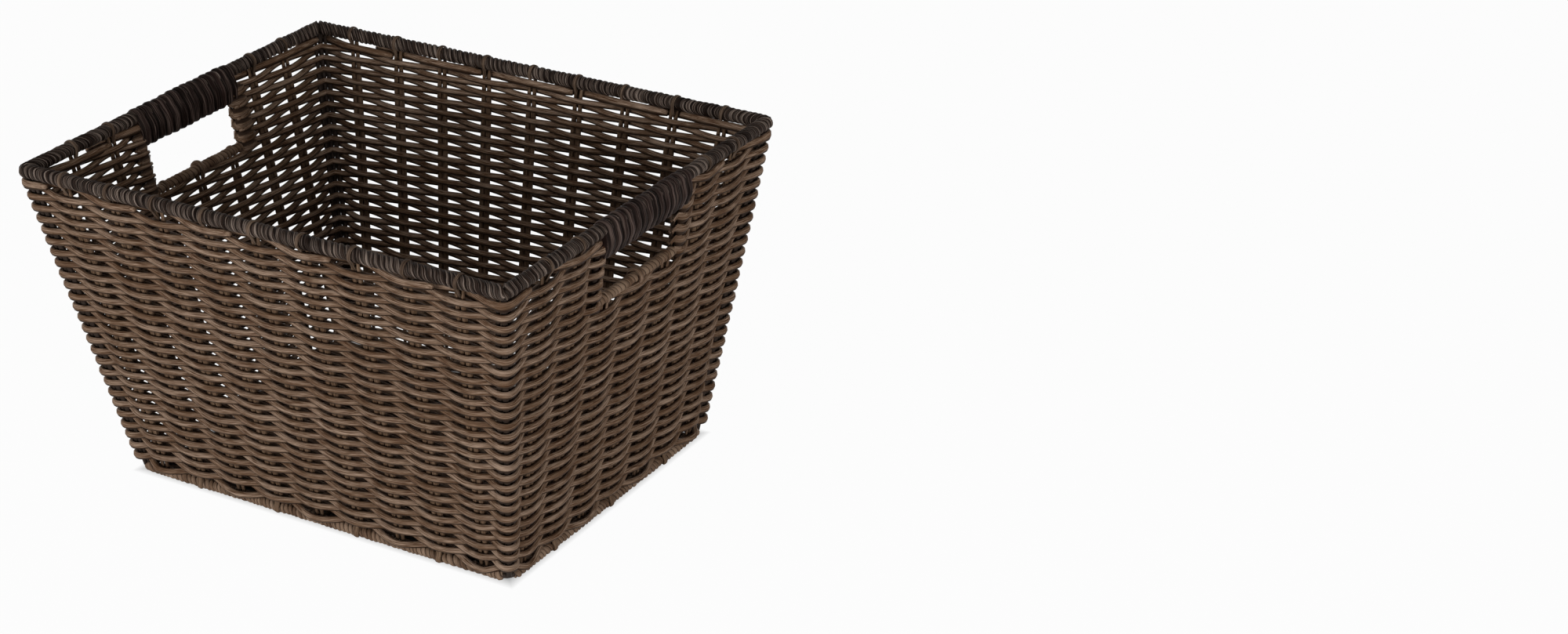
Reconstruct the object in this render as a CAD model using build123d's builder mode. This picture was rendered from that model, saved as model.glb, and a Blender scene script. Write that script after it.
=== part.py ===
from build123d import *
import os
from math import atan2, cos, hypot, pi, sin, tan

# A rectangular woven basket with flared walls, on a bent wire frame.
# Millimetres, +Z up, origin under the middle of the base, long side along X.

# Whole basket, between the centre lines of the rim wire and the base wire
RIM_LENGTH = 420.0
RIM_WIDTH = 334.0
RISE = 250.0
FLARE = 41.5  # how far each wall leans out from base to rim
RING_CORNER = 7.0

# Wire frame, sizes across flats
RIM_WIRE = 4.6
BASE_WIRE = 4.0
POST_WIRE = 4.0
HOLE_WIRE = 4.4
WIRE_SIDES = 6
POST_INSET = 0.8  # from the meeting line of two walls
CLEARANCE = 0.1

# Wrapped edges, outside sizes across flats
RIM_WRAP = 11.0
BASE_WRAP = 7.5
SILL_WRAP = 8.0
WRAP_SIDES = 12
FOOT_FLAT = 0.5  # depth of the flat that the base edge stands on

# Woven walls and base, closed over the full depth of the strands
WEAVE = 10.8
WEAVE_FOOT = 5.5  # start of the weave above the base wire, up the slope
WEAVE_HEAD = 7.0  # end of the weave below the rim wire, down the slope
GAP_WIDTH = 20.0  # see-through gaps between the stakes
GAP_HEIGHT = 9.0
GAP_ROWS = 4
BASE_MAT = 6.4  # over the rods
BASE_MAT_CREST = 6.0  # width of the flat over a rod
BASE_MAT_VALLEY = 2.6  # between the rods
BASE_MAT_END = 4.6
BASE_MAT_CORNER = 4.0
BASE_MAT_GAP = 0.35
BASE_MAT_HEIGHT = 4.0

# Upright stakes, in pairs of rods, counted from the middle of each wall
STAKE_ROD = 3.6
STAKE_SPREAD = 2.15  # from the middle of a pair to each rod
STAKE_SLOT = 8.7
LONG_STAKES = 9
LONG_STEP_BASE = 36.8
LONG_STEP_RIM = 43.4
SHORT_STAKES = 7
SHORT_STEP_BASE = 36.6
SHORT_STEP_RIM = 40.2
BASE_RODS = 7
BASE_ROD = 3.2

# Hand holes in the short walls, measured down the slope from the rim wire
HOLE_HALF_WIDTH = 49.2
HOLE_POST = 54.5  # from the middle of the wall to each side wire
SILL_DROP = 60.0
SILL_GAP = 0.2  # from the sill to the weave under it
GRIP_DROP = 18.3  # from the rim wire to the lower grip bar
GRIP_TURNS = 10
GRIP_PITCH = 8.8
STRAP_WIDTH = 7.3
STRAP_THICKNESS = 3.5
STRAP_PLAY = 0.5  # between the wire and the strap
GAP_POINTS = 12  # on each arc of the strap, where its gap is measured

BASE_LENGTH = RIM_LENGTH - 2 * FLARE
BASE_WIDTH = RIM_WIDTH - 2 * FLARE
BASE_Z = BASE_WRAP / 2 - FOOT_FLAT
RIM_Z = BASE_Z + RISE
BEND = RING_CORNER * tan(pi / 8)  # from the end of a straight side to the mitre of its bend
LEAN = atan2(FLARE, RISE)
SLOPE = hypot(FLARE, RISE)

# Wall planes: x along the wall, y up the slope from the base wire, z outwards
front_wall = Plane((0, -BASE_WIDTH / 2, BASE_Z), x_dir=(1, 0, 0), z_dir=(0, -cos(LEAN), -sin(LEAN)))
right_wall = Plane((BASE_LENGTH / 2, 0, BASE_Z), x_dir=(0, 1, 0), z_dir=(cos(LEAN), 0, -sin(LEAN)))
sill_height = SLOPE - SILL_DROP
grip_height = SLOPE - GRIP_DROP

pieces = {}


def keep(name, piece):
    """Label a finished piece and note it for export."""
    piece.part.label = name
    pieces[name] = piece.part


def keep_pair(name, other_name, piece, about):
    """Keep a piece and its mirror image on the opposite wall."""
    keep(name, piece)
    with BuildPart() as opposite:
        mirror(piece.part, about=about)
    keep(other_name, opposite)


def faceted(size, sides, bore=0):
    """A regular section with flats square to its plane's axes, bored for a wire if asked."""
    RegularPolygon(size / 2, sides, major_radius=False, rotation=180 / sides)
    if bore:
        turn = 180 / WIRE_SIDES
        RegularPolygon(bore / 2, WIRE_SIDES, major_radius=False, rotation=turn, mode=Mode.SUBTRACT)


def rod(start, end, size, sides=WIRE_SIDES):
    """A straight faceted rod between two points."""
    axis = Vector(*end) - Vector(*start)
    with BuildPart() as bar:
        with BuildSketch(Plane(start, z_dir=axis)):
            faceted(size, sides)
        extrude(amount=axis.length)
    return bar


def bend(length, width, height, sign_x, sign_y):
    """The two mitres of the bend at one corner, first the one on the long side."""
    on_long = (sign_x * (length / 2 - RING_CORNER + BEND), sign_y * width / 2, height)
    on_short = (sign_x * length / 2, sign_y * (width / 2 - RING_CORNER + BEND), height)
    return [on_long, on_short]


def ring(length, width, height, size, sides, bore=0):
    """A faceted tube bent into a rectangle, with two mitres at each corner."""
    start = (0, -width / 2, height)
    mitres = []
    for sign in (1, -1):
        mitres += bend(length, width, height, sign, -sign)
        mitres += bend(length, width, height, sign, sign)[::-1]
    with BuildPart() as loop:
        with BuildLine() as path:
            Polyline(start, *mitres, start)
        with BuildSketch(Plane(start, x_dir=(0, -1, 0), z_dir=(1, 0, 0))):
            faceted(size, sides, bore)
        sweep(path=path.wire(), transition=Transition.RIGHT)
    return loop


# Wire frame
rim_wire = ring(RIM_LENGTH, RIM_WIDTH, RIM_Z, RIM_WIRE, WIRE_SIDES)
keep("rim_wire", rim_wire)
base_wire = ring(BASE_LENGTH, BASE_WIDTH, BASE_Z, BASE_WIRE, WIRE_SIDES)
keep("base_wire", base_wire)


def corner_rod(sign_x, sign_y, size):
    """The rod at one corner, between the levels of the two wires."""
    low = (sign_x * (BASE_LENGTH / 2 - POST_INSET), sign_y * (BASE_WIDTH / 2 - POST_INSET), BASE_Z)
    high = (sign_x * (RIM_LENGTH / 2 - POST_INSET), sign_y * (RIM_WIDTH / 2 - POST_INSET), RIM_Z)
    return rod(low, high, size)


# Uprights stand on the flat of the base edge and end under the flat of the rim or of a sill
base_flat = Plane.XY.offset(BASE_Z + BASE_WRAP / 2)
rim_flat = Plane.XY.offset(RIM_Z - RIM_WRAP / 2)
under_sill = right_wall.from_local_coords((0, sill_height - SILL_WRAP / 2, 0))
sill_flat = Plane(under_sill, z_dir=right_wall.y_dir)

front_post = corner_rod(1, -1, POST_WIRE)
with BuildPart() as post:
    add(front_post.part)
    split(bisect_by=base_flat, keep=Keep.TOP)
    split(bisect_by=rim_flat, keep=Keep.BOTTOM)
keep_pair("corner_post_front_right", "corner_post_front_left", post, Plane.YZ)
with BuildPart() as back_post:
    mirror(post.part, about=Plane.XZ)
keep_pair("corner_post_back_right", "corner_post_back_left", back_post, Plane.YZ)
post_bores = [corner_rod(x, y, POST_WIRE + 2 * CLEARANCE) for x in (-1, 1) for y in (-1, 1)]


def hole_wire(size):
    """The wire that borders a hand hole: down from the rim, along the sill and up again."""
    mitre = RING_CORNER - BEND
    half = [(HOLE_POST - mitre, sill_height), (HOLE_POST, sill_height + mitre), (HOLE_POST, SLOPE)]
    other_half = [(-along, up) for along, up in half[::-1]]
    with BuildPart() as wire:
        with BuildLine(right_wall) as path:
            Polyline(*other_half, *half)
        with BuildSketch(Plane(path.line @ 0, x_dir=(0, 1, 0), z_dir=path.line % 0)):
            faceted(size, WIRE_SIDES)
        sweep(path=path.wire(), transition=Transition.RIGHT)
    return wire


bent_wire = hole_wire(HOLE_WIRE)
with BuildPart() as handle_frame:
    add(bent_wire.part)
    add(rim_wire.part, mode=Mode.SUBTRACT)
keep_pair("handle_frame_right", "handle_frame_left", handle_frame, Plane.YZ)
frame_bore = hole_wire(HOLE_WIRE + 2 * CLEARANCE)


def wall_bar(half_span, height, size, sides, bore=0):
    """A level bar in the right wall, centred on the hand hole."""
    start = right_wall.from_local_coords((-half_span, height, 0))
    with BuildPart() as bar:
        with BuildSketch(Plane(start, x_dir=right_wall.y_dir, z_dir=right_wall.x_dir)):
            faceted(size, sides, bore)
        extrude(amount=2 * half_span)
    return bar


post_face = HOLE_POST - HOLE_WIRE / 2
grip_bar = wall_bar(post_face, grip_height, HOLE_WIRE, WIRE_SIDES)
keep_pair("grip_bar_right", "grip_bar_left", grip_bar, Plane.YZ)
grip_bore = wall_bar(post_face, grip_height, HOLE_WIRE + 2 * CLEARANCE, WIRE_SIDES)

# Wrapped edges, bored for their wires
base_tube = ring(BASE_LENGTH, BASE_WIDTH, BASE_Z, BASE_WRAP, WRAP_SIDES, BASE_WIRE + 2 * CLEARANCE)
with BuildPart() as base_wrap:
    add(base_tube.part)
    split(bisect_by=Plane.XY, keep=Keep.TOP)
keep("base_wrap", base_wrap)

long_run = RIM_LENGTH / 2 - RING_CORNER
short_run = RIM_WIDTH / 2 - RING_CORNER
grip_end = (GRIP_TURNS * GRIP_PITCH + STRAP_WIDTH) / 2 + CLEARANCE
with BuildPart() as rim_front:
    with BuildSketch(Plane((-long_run, -RIM_WIDTH / 2, RIM_Z), x_dir=(0, -1, 0), z_dir=(1, 0, 0))):
        faceted(RIM_WRAP, WRAP_SIDES, RIM_WIRE + 2 * CLEARANCE)
    extrude(amount=2 * long_run)
keep_pair("rim_wrap_front", "rim_wrap_back", rim_front, Plane.XZ)
with BuildPart() as rim_side:
    with BuildSketch(Plane((RIM_LENGTH / 2, -short_run, RIM_Z), x_dir=(1, 0, 0), z_dir=(0, 1, 0))):
        faceted(RIM_WRAP, WRAP_SIDES, RIM_WIRE + 2 * CLEARANCE)
    extrude(amount=short_run - grip_end)
    add(frame_bore.part, mode=Mode.SUBTRACT)
keep_pair("rim_wrap_right_front", "rim_wrap_left_front", rim_side, Plane.YZ)
with BuildPart() as rim_side_back:
    mirror(rim_side.part, about=Plane.XZ)
keep_pair("rim_wrap_right_back", "rim_wrap_left_back", rim_side_back, Plane.YZ)
with BuildPart() as rim_corner:
    corner_start = (long_run, -RIM_WIDTH / 2, RIM_Z)
    corner_end = (RIM_LENGTH / 2, -short_run, RIM_Z)
    with BuildLine() as corner_path:
        Polyline(corner_start, *bend(RIM_LENGTH, RIM_WIDTH, RIM_Z, 1, -1), corner_end)
    with BuildSketch(Plane(corner_start, x_dir=(0, -1, 0), z_dir=(1, 0, 0))):
        faceted(RIM_WRAP, WRAP_SIDES, RIM_WIRE + 2 * CLEARANCE)
    sweep(path=corner_path.wire(), transition=Transition.RIGHT)
keep_pair("rim_wrap_corner_front_right", "rim_wrap_corner_front_left", rim_corner, Plane.YZ)
with BuildPart() as rim_corner_back:
    mirror(rim_corner.part, about=Plane.XZ)
keep_pair("rim_wrap_corner_back_right", "rim_wrap_corner_back_left", rim_corner_back, Plane.YZ)

sill_reach = HOLE_POST - RING_CORNER
sill_wrap = wall_bar(sill_reach, sill_height, SILL_WRAP, WRAP_SIDES, HOLE_WIRE + 2 * CLEARANCE)
keep_pair("sill_wrap_right", "sill_wrap_left", sill_wrap, Plane.YZ)

# Wound grips: one strap goes round the rim wire and the grip bar, over and under in half turns.
# It moves half a pitch along the grip on each face, in a gentle double bend, and both ends hang straight.
turn_radius = RIM_WIRE / 2 + STRAP_PLAY + STRAP_THICKNESS / 2


def grip_point(along, up, out):
    return right_wall.from_local_coords((along, up, out))


with BuildPart() as grip_winding:
    with BuildLine() as strap_path:
        start = -GRIP_TURNS * GRIP_PITCH / 2
        tail = grip_height - STRAP_WIDTH
        Line(grip_point(start, tail, turn_radius), grip_point(start, grip_height, turn_radius))
        for run in range(2 * GRIP_TURNS):
            rising = run % 2 == 0
            from_height, to_height = (grip_height, SLOPE) if rising else (SLOPE, grip_height)
            face = turn_radius if rising else -turn_radius
            climb = right_wall.y_dir if rising else -right_wall.y_dir
            end = start + GRIP_PITCH / 2
            middle = grip_point((start + end) / 2, (grip_height + SLOPE) / 2, face)
            TangentArc(grip_point(start, from_height, face), middle, tangent=climb)
            TangentArc(grip_point(end, to_height, face), middle, tangent=-climb)
            if run < 2 * GRIP_TURNS - 1:
                crown = grip_point(end, to_height + face, 0)
                ThreePointArc(grip_point(end, to_height, face), crown, grip_point(end, to_height, -face))
            start = end
        Line(grip_point(end, grip_height, face), grip_point(end, tail, face))
    strap_line = strap_path.wire()
    with BuildSketch(Plane(strap_line @ 0, x_dir=(0, 1, 0), z_dir=strap_line % 0)):
        Rectangle(STRAP_WIDTH, STRAP_THICKNESS)
    sweep(path=strap_line)
keep_pair("grip_winding_right", "grip_winding_left", grip_winding, Plane.YZ)

# The least gap between neighbouring turns, on points along the strap
turn_edges = 6  # two double bends and two half turns
spots = [[edge @ (i / GAP_POINTS) for i in range(GAP_POINTS)] for edge in strap_line.order_edges()]
least = min(
    (spot - other).length
    for i, near in enumerate(spots)
    for far in spots[i + turn_edges - 2 : i + turn_edges + 2]
    for spot in near
    for other in far
)
print("least gap between strap turns, mm:", round(least - STRAP_WIDTH, 2))


# Stakes: pairs of rods that fan out from base to rim, seated on the flats of the wrapped edges
def stake_plane(wall, index, step_base, step_rim):
    """A plane across one stake at its foot, x along the wall and z up the stake."""
    foot = wall.from_local_coords((index * step_base, 0, 0))
    head = wall.from_local_coords((index * step_rim, SLOPE, 0))
    axis = head - foot
    return Plane(foot, x_dir=axis.cross(wall.z_dir), z_dir=axis)


def wall_stakes(planes, head):
    """Stakes of one wall, from the flat of the base edge to the flat that they end under."""
    with BuildPart() as group:
        for plane in planes:
            with BuildSketch(plane):
                with GridLocations(2 * STAKE_SPREAD, 0, 2, 1):
                    Rectangle(STAKE_ROD, STAKE_ROD)
        extrude(amount=SLOPE)
        split(bisect_by=base_flat, keep=Keep.TOP)
        split(bisect_by=head, keep=Keep.BOTTOM)
    return group


def middle_out(count):
    return range(-(count // 2), count // 2 + 1)


long_planes = [stake_plane(front_wall, i, LONG_STEP_BASE, LONG_STEP_RIM) for i in middle_out(LONG_STAKES)]
front_stakes = wall_stakes(long_planes, rim_flat)
keep_pair("stakes_front", "stakes_back", front_stakes, Plane.XZ)

short_planes = [stake_plane(right_wall, i, SHORT_STEP_BASE, SHORT_STEP_RIM) for i in middle_out(SHORT_STAKES)]
beside_hole = int(HOLE_HALF_WIDTH // SHORT_STEP_RIM) + 1
under_hole = short_planes[SHORT_STAKES // 2 - beside_hole + 1 : SHORT_STAKES // 2 + beside_hole]
whole_height = [plane for plane in short_planes if plane not in under_hole]
short_stakes = wall_stakes(under_hole, sill_flat)
tall_stakes = wall_stakes(whole_height, rim_flat)
with BuildPart() as right_stakes:
    add(short_stakes.part)
    add(tall_stakes.part)
keep_pair("stakes_right", "stakes_left", right_stakes, Plane.YZ)


# Woven sheets
def gap_spots(count, step_base, step_rim):
    """Middles of the see-through gaps: one between each two stakes, in level rows."""
    spots = []
    for row in range(1, GAP_ROWS + 1):
        height = SLOPE * row / (GAP_ROWS + 1)
        step = step_base + (step_rim - step_base) * height / SLOPE
        spots += [((i + 0.5) * step, height) for i in middle_out(count)[:-1]]
    return spots


def woven_wall(wall, half_length, stake_planes, gaps, end_cuts, side):
    """A leaning woven sheet, mitred at both corners, with gaps, and slots for its stakes and posts."""
    with BuildPart() as sheet:
        with BuildSketch(Plane(wall.origin, x_dir=wall.y_dir, z_dir=wall.x_dir)):
            with Locations((WEAVE_FOOT, 0)):
                Rectangle(SLOPE - WEAVE_HEAD - WEAVE_FOOT, WEAVE, align=(Align.MIN, Align.CENTER))
        extrude(amount=half_length + WEAVE, both=True)
        for cut in end_cuts:
            split(bisect_by=cut, keep=side)
        for plane in stake_planes:
            with BuildSketch(plane):
                Rectangle(STAKE_SLOT, STAKE_ROD + 2 * CLEARANCE)
        extrude(amount=SLOPE, mode=Mode.SUBTRACT)
        with BuildSketch(wall):
            with Locations(*gaps):
                Rectangle(GAP_WIDTH, GAP_HEIGHT)
        extrude(amount=WEAVE, both=True, mode=Mode.SUBTRACT)
        for bore in post_bores:
            add(bore.part, mode=Mode.SUBTRACT)
    return sheet


def corner_cut(sign_x, sign_y, normal):
    return Plane((sign_x * BASE_LENGTH / 2, sign_y * BASE_WIDTH / 2, 0), z_dir=normal)


front_cuts = [corner_cut(x, -1, (x, 1, 0)) for x in (-1, 1)]
right_cuts = [corner_cut(1, y, (1, -y, 0)) for y in (-1, 1)]

long_gaps = gap_spots(LONG_STAKES, LONG_STEP_BASE, LONG_STEP_RIM)
front_weave = woven_wall(front_wall, RIM_LENGTH / 2, long_planes, long_gaps, front_cuts, Keep.BOTTOM)
keep_pair("woven_front", "woven_back", front_weave, Plane.XZ)

short_gaps = [
    (along, height)
    for along, height in gap_spots(SHORT_STAKES, SHORT_STEP_BASE, SHORT_STEP_RIM)
    if height < sill_height - SILL_WRAP or abs(along) > HOLE_POST + GAP_WIDTH
]
right_weave = woven_wall(right_wall, RIM_WIDTH / 2, short_planes, short_gaps, right_cuts, Keep.TOP)
hole_floor = sill_flat.offset(-SILL_GAP)
with BuildPart() as right_lower:
    add(right_weave.part)
    split(bisect_by=hole_floor, keep=Keep.BOTTOM)
keep_pair("woven_right_lower", "woven_left_lower", right_lower, Plane.YZ)
with BuildPart() as right_upper:
    add(right_weave.part)
    split(bisect_by=hole_floor, keep=Keep.TOP)
    split(bisect_by=Plane((0, -HOLE_HALF_WIDTH, 0), z_dir=(0, 1, 0)), keep=Keep.BOTTOM)
    add(frame_bore.part, mode=Mode.SUBTRACT)
    add(grip_bore.part, mode=Mode.SUBTRACT)
keep_pair("woven_right_front", "woven_left_front", right_upper, Plane.YZ)
with BuildPart() as right_upper_back:
    mirror(right_upper.part, about=Plane.XZ)
keep_pair("woven_right_back", "woven_left_back", right_upper_back, Plane.YZ)

# Base: rods from edge to edge, and the woven mat that they carry
mat_length = BASE_LENGTH - BASE_WRAP - 2 * BASE_MAT_GAP
mat_width = BASE_WIDTH - BASE_WRAP - 2 * BASE_MAT_GAP
rod_end = (BASE_WIDTH - BASE_WRAP) / 2
rod_plane = Plane((0, rod_end, BASE_MAT_HEIGHT), x_dir=(1, 0, 0), z_dir=(0, -1, 0))
rod_step = mat_length / (BASE_RODS + 1)
with BuildPart() as base_rods:
    with BuildSketch(rod_plane):
        with GridLocations(rod_step, 0, BASE_RODS, 1):
            faceted(BASE_ROD, WIRE_SIDES)
    extrude(amount=BASE_WIDTH - BASE_WRAP)
keep("base_rods", base_rods)

# The mat is thick where its strands pass over and under a rod, and thin between the rods
crests = [(mat_length / 2, BASE_MAT_END / 2)]
for i in middle_out(BASE_RODS):
    middle = -i * rod_step
    crests.append((middle + rod_step / 2, BASE_MAT_VALLEY / 2))
    crests += [(middle + side * BASE_MAT_CREST / 2, BASE_MAT / 2) for side in (1, -1)]
crests += [(-(BASE_RODS / 2) * rod_step, BASE_MAT_VALLEY / 2), (-mat_length / 2, BASE_MAT_END / 2)]
mat_plane = Plane((0, 0, BASE_MAT_HEIGHT), x_dir=(1, 0, 0), z_dir=(0, -1, 0))
with BuildPart() as base_mat:
    with BuildSketch(mat_plane):
        Polygon(*crests, *[(along, -rise) for along, rise in crests[::-1]], align=None)
    extrude(amount=mat_width / 2, both=True)
    chamfer(base_mat.edges().filter_by(Axis.Z), length=BASE_MAT_CORNER)
    with BuildSketch(rod_plane):
        with GridLocations(rod_step, 0, BASE_RODS, 1):
            faceted(BASE_ROD + 2 * CLEARANCE, WIRE_SIDES)
    extrude(amount=BASE_WIDTH, mode=Mode.SUBTRACT)
keep("woven_base", base_mat)

os.makedirs("parts", exist_ok=True)
for name, piece in pieces.items():
    export_step(piece, f"parts/{name}.step")
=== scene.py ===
from math import atan2, cos, hypot, pi, radians, sin

import bpy
import numpy as np
from mathutils import Matrix, Vector


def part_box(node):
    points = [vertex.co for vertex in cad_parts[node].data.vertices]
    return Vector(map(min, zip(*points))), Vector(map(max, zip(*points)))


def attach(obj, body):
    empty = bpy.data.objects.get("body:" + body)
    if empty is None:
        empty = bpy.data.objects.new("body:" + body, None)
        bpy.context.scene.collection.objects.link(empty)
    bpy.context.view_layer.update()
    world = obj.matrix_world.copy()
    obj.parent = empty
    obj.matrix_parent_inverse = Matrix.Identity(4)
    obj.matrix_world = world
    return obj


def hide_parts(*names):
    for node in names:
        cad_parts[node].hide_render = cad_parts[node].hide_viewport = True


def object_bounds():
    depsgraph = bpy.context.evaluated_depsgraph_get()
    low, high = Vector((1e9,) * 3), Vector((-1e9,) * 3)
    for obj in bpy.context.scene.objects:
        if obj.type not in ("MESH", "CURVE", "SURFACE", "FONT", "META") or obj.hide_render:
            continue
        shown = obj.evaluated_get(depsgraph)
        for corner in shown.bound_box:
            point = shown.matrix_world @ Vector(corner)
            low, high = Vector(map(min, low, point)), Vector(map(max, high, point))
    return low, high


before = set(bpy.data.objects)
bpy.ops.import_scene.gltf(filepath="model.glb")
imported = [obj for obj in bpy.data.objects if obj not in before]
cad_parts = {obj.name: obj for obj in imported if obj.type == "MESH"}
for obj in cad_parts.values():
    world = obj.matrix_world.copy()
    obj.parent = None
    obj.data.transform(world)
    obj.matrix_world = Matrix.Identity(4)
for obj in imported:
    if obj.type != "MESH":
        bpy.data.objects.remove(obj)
cad_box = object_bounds()
rng = np.random.default_rng(36)

# Sizes, in metres

MM = 0.001
RIM_WIRE = 4.6 * MM
BASE_WIRE = 4.0 * MM
POST_WIRE = 4.0 * MM
HOLE_WIRE = 4.4 * MM

STRAND_TALL = 4.9 * MM
STRAND_DEEP = 4.7 * MM
ROW_PITCH = 4.65 * MM
FIRST_ROW = 6.8 * MM
ROW_COUNT = 52
WAVE = 4.3 * MM
ROW_WANDER = 0.15 * MM
WAVE_WANDER = 0.03
FOOT_ROW_DROOP = 2.0 * MM
FOOT_ROW_SWING = 1.0 * MM
TOP_ROW_RISE = 2.0 * MM
TOP_ROW_HEAD = 0.1
TOP_ROW_TAIL = 0.62
TOP_ROW_TALL = 1.3
TOP_ROW_END = 0.7
TOP_ROW_DROOP = 2.0 * MM
# Shares of the rise and of the wave at a top strand's four stations
TOP_ROW_LIFTS = (0.4, 0.8, 0.2, 1.0)
TOP_ROW_SWINGS = (0.4, 1.0, 1.0, 0.75)

# Corner radius of the walls' middle line, for rows that pass outside and inside the posts
OUTSIDE_BEND = 1.3 * MM
INSIDE_BEND = 5.2 * MM
INSIDE_SWING = 0.75
# Strands are pressed broad where two rows cross, and broad and thin where they bend round a post
CROSS_TALL = 0.06
BEND_REACH = 8.0 * MM
BEND_TALL = 0.3
POST_REACH = 5.0 * MM
POST_TALL = 1.15
BEND_THIN = 0.15

STAKE_ROD = 4.6 * MM
STAKE_DEEP = 3.9 * MM
STAKE_SPREAD = 2.4 * MM
STAKE_LOW = 2.0 * MM
STAKE_SHORT = 1.5 * MM
STAKE_WANDER = 0.12 * MM
LONG_STAKES = 9
SHORT_STAKES = 7
LONG_STEP = (36.8 * MM, 43.4 * MM)
SHORT_STEP = (36.6 * MM, 40.2 * MM)
TIE_WIDE = 3.4 * MM
TIE_DEEP = 1.4 * MM
TIE_LIFT = 0.2 * MM
TIE_WANDER = 0.8 * MM
LOOP_WIDE = 4.6 * MM
LOOP_DEEP = 3.0 * MM
LOOP_LIFT = 1.3 * MM
CORNER_WIDE = 5.0 * MM
CORNER_DEEP = 3.0 * MM
CORNER_APART = 4.8 * MM
CORNER_OUT = 0.4 * MM
CORNER_SHORT = 4.0 * MM
POST_SHORT = 1.0 * MM
FOOT_WIDE = 4.8 * MM
FOOT_DEEP = 2.2 * MM
FOOT_LIFT = 0.5 * MM
# Turns round a bar in the wall, in degrees from straight out, and the tails that go on from them
TIE_TURN = (-48, 208)
TIE_TAIL_UP = (-14.0 * MM, -11.0 * MM, -8.2 * MM)
TIE_TAIL_OUT = (0.3 * MM, 1.2 * MM, 2.6 * MM)
FOOT_TURN = (-62, 46)
FOOT_TAIL_UP = (6.5 * MM, 10.0 * MM, 15.0 * MM)
FOOT_TAIL_OUT = (1.8 * MM, 0.4 * MM, 0.0)

RIM_RADIUS = 5.5 * MM
RIM_STRAP = 4.8 * MM
RIM_RIDGE = 1.0 * MM
RIM_MITRE = 3.0 * MM
RIM_CREASE = 0.45
CREASE_WIDE = 1.0 * MM
BASE_RADIUS = 4.3 * MM
BASE_STRAP = 4.4 * MM
BASE_RIDGE = 1.25 * MM
BASE_CORNER = 7.0 * MM
BARE_CORNER = 3.8 * MM
BASE_TAPER = 2.0 * MM
SILL_RADIUS = 4.0 * MM
SILL_STRAP = 4.2 * MM
SILL_RIDGE = 0.85 * MM
SILL_END = 3.0 * MM
SILL_TAPER = 3.0 * MM
# Share of a strand winding's size that is left at its two ends
END_DRAW = 0.52
# Least and greatest share of the ridge on a strap, and the form of its crown
RIDGE_RANGE = (0.7, 1.15)
CROWN_BROAD = 2.2
CROWN_ROUND = 0.7

HOLE_POST = 54.5 * MM
HOLE_BEND = 7.0 * MM
SILL_DROP = 60.0 * MM
ROW_STUB = 9.0 * MM
ROW_END = 5.0 * MM
STUB_DRIFT = 0.05
# A row's end turns round a hole's post between these angles, in degrees from straight along the row
POST_TURN = (72, -90)

GRIP_DROP = 18.3 * MM
GRIP_RADIUS = 4.6 * MM
GRIP_RIDGE = 2.1 * MM
GRIP_BULGE = 2.2 * MM
GRIP_STRAP = 7.8 * MM
GRIP_TURNS = 14
GRIP_TAPER = 1.5 * MM
GRIP_DRAW = 0.75

BASE_RODS = 7
BASE_ROD = 3.2 * MM
MAT_STRAND = 1.6 * MM
MAT_PITCH = 4.65 * MM
MAT_TUCK = 3.0 * MM
MAT_WANDER = 0.15 * MM

# How far along the streaks a strand may start
STREAK_SHIFT = 20.0
# Depth of the grain, and the sheen of each kind of surface
GRAIN = 0.3 * MM
WIRE_GRAIN = 0.2 * MM
CANE_SHEEN = 0.06
STRAP_SHEEN = 0.03
WIRE_SHEEN = 0.12
# Where the painted groove shade on a wound strand is darkest, as a share of its width from its middle
STRAP_EDGE = 0.47

FLOOR_REACH = 30.0
FLOOR_TONE = 0.45
FLOOR_GLOW = 0.97
# Half the width of the soft edge of the painted contact shadow on the floor, round the base's footprint
SHADOW_REACH = 8.0 * MM
SKY_LEVEL = 0.048
# The point that the lamps face, and the width and height of each kind
LAMP_AIM = (0.0, 0.0, 0.13)
LOW_LAMP = (1.8, 0.5)
TOP_LAMP = (1.4, 1.0)
FILL_LAMP = (1.6, 0.24)

# Counts
STRAND_SIDES = 8
WIRE_SIDES = 12
SPAN_STEPS = 10
CORNER_STEPS = 16
STAKE_STEPS = 16
TIE_STEPS = 17
FOOT_STEPS = 7
POST_STEPS = 12
POST_TURN_STEPS = 10
HOLE_POST_STEPS = 10
SILL_STEPS = 12
HOLE_BEND_STEP = 15
RING_STEPS = 400
ROD_STEPS = 24
STATIONS = 2 * LONG_STAKES + 2 * SHORT_STAKES + 4


# The frame's own measures

def wire_ring(node, wire):
    """Half length, half width and height of a wire ring's middle line."""
    low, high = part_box(node)
    return np.array([high.x - wire / 2, high.y - wire / 2, (low.z + high.z) / 2])


RIM = wire_ring("rim_wire", RIM_WIRE)
BASE = wire_ring("base_wire", BASE_WIRE)
FLARE = RIM[0] - BASE[0]
RISE = RIM[2] - BASE[2]
SLOPE = hypot(FLARE, RISE)
LEAN = atan2(FLARE, RISE)
FLOOR = cad_box[0].z


# Loops and walls

def loop_runs(half_x, half_y, radius):
    """Lengths of a rounded rectangle's runs, anticlockwise from the middle of its front side."""
    x = half_x - radius
    y = half_y - radius
    turn = radius * pi / 2
    return np.array([x, turn, 2 * y, turn, 2 * x, turn, 2 * y, turn, x])


def loop_spots(half_x, half_y, radius, s):
    """Points and outward normals, as complex numbers, at distances s round a rounded rectangle."""
    runs = loop_runs(half_x, half_y, radius)
    ends = np.cumsum(runs)
    s = np.mod(s, ends[-1])
    run = np.minimum(np.searchsorted(ends, s, side="right"), len(runs) - 1)
    along = s - (ends - runs)[run]
    sides = np.arange(5)
    headings = np.round(1j ** sides)
    normals = -1j * headings
    centres = (half_x - radius) * np.array([1, 1, -1, -1, 1])
    centres = centres + 1j * (half_y - radius) * np.array([-1, 1, 1, -1, -1])
    starts = np.concatenate([[-1j * half_y], centres[:4] + radius * normals[1:]])
    side = run // 2
    bend = np.exp(1j * along / radius)
    straight = run % 2 == 0
    normal = np.where(straight, normals[side], normals[side] * bend)
    spot = np.where(straight, starts[side] + along * headings[side], centres[side] + radius * normal)
    return spot, normal


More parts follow.
